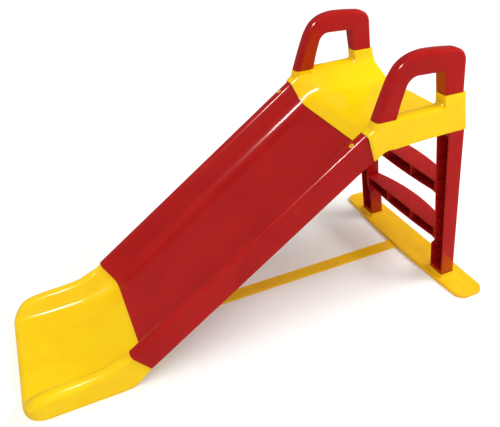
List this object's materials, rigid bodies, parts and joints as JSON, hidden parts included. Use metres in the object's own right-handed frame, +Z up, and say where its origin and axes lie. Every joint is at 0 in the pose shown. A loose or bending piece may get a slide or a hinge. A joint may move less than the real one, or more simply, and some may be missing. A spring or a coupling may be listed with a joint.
{
  "type": "toddler slide",
  "caption": "Plastic toddler slide: trough bed with yellow scoop foot, moulded platform, arched handles, stepped ladder, base plate and tie strap.",
  "frame": {"origin": "centre of the bounding box in plan, on the floor", "axes": "+Z up; -X the way the child slides, +X the ladder side; +Y the seated rider's right"},
  "size_m": [1.3, 0.612, 0.732],
  "materials": {
    "slide_bed": "red moulded polyethylene, glossy",
    "handle_left": "red moulded polyethylene, glossy",
    "handle_right": "red moulded polyethylene, glossy",
    "ladder_post_left": "red moulded polyethylene, glossy",
    "ladder_post_right": "red moulded polyethylene, glossy",
    "step_lower": "red moulded polyethylene, glossy",
    "step_upper": "red moulded polyethylene, glossy",
    "bed_nut_left": "red moulded polyethylene, glossy",
    "bed_nut_right": "red moulded polyethylene, glossy",
    "foot_scoop": "yellow moulded polyethylene, glossy",
    "platform": "yellow moulded polyethylene, glossy",
    "base_plate": "yellow moulded polyethylene, glossy",
    "tie_strap": "yellow moulded polyethylene, glossy",
    "bed_plug_left": "yellow moulded polyethylene, glossy",
    "bed_plug_right": "yellow moulded polyethylene, glossy",
    "foot_screw_left": "zinc-plated steel",
    "foot_screw_right": "zinc-plated steel",
    "handle_screw_front_left": "zinc-plated steel",
    "handle_screw_front_right": "zinc-plated steel",
    "handle_screw_rear_left": "zinc-plated steel",
    "handle_screw_rear_right": "zinc-plated steel",
    "post_screw_left": "zinc-plated steel",
    "post_screw_right": "zinc-plated steel",
    "base_screw_left": "zinc-plated steel",
    "base_screw_right": "zinc-plated steel",
    "step_lower_screw_left": "zinc-plated steel",
    "step_lower_screw_right": "zinc-plated steel",
    "step_upper_screw_left": "zinc-plated steel",
    "step_upper_screw_right": "zinc-plated steel",
    "strap_pin_front": "zinc-plated steel",
    "strap_pin_rear": "zinc-plated steel"
  },
  "bodies": {
    "root": {"slide_bed": "slide_bed", "handle_left": "handle_left", "handle_right": "handle_right", "ladder_post_left": "ladder_post_left", "ladder_post_right": "ladder_post_right", "step_lower": "step_lower", "step_upper": "step_upper", "bed_nut_left": "bed_nut_left", "bed_nut_right": "bed_nut_right", "foot_scoop": "foot_scoop", "platform": "platform", "base_plate": "base_plate", "tie_strap": "tie_strap", "bed_plug_left": "bed_plug_left", "bed_plug_right": "bed_plug_right", "foot_screw_left": "foot_screw_left", "foot_screw_right": "foot_screw_right", "handle_screw_front_left": "handle_screw_front_left", "handle_screw_front_right": "handle_screw_front_right", "handle_screw_rear_left": "handle_screw_rear_left", "handle_screw_rear_right": "handle_screw_rear_right", "post_screw_left": "post_screw_left", "post_screw_right": "post_screw_right", "base_screw_left": "base_screw_left", "base_screw_right": "base_screw_right", "step_lower_screw_left": "step_lower_screw_left", "step_lower_screw_right": "step_lower_screw_right", "step_upper_screw_left": "step_upper_screw_left", "step_upper_screw_right": "step_upper_screw_right", "strap_pin_front": "strap_pin_front", "strap_pin_rear": "strap_pin_rear"}
  },
  "joints": []
}
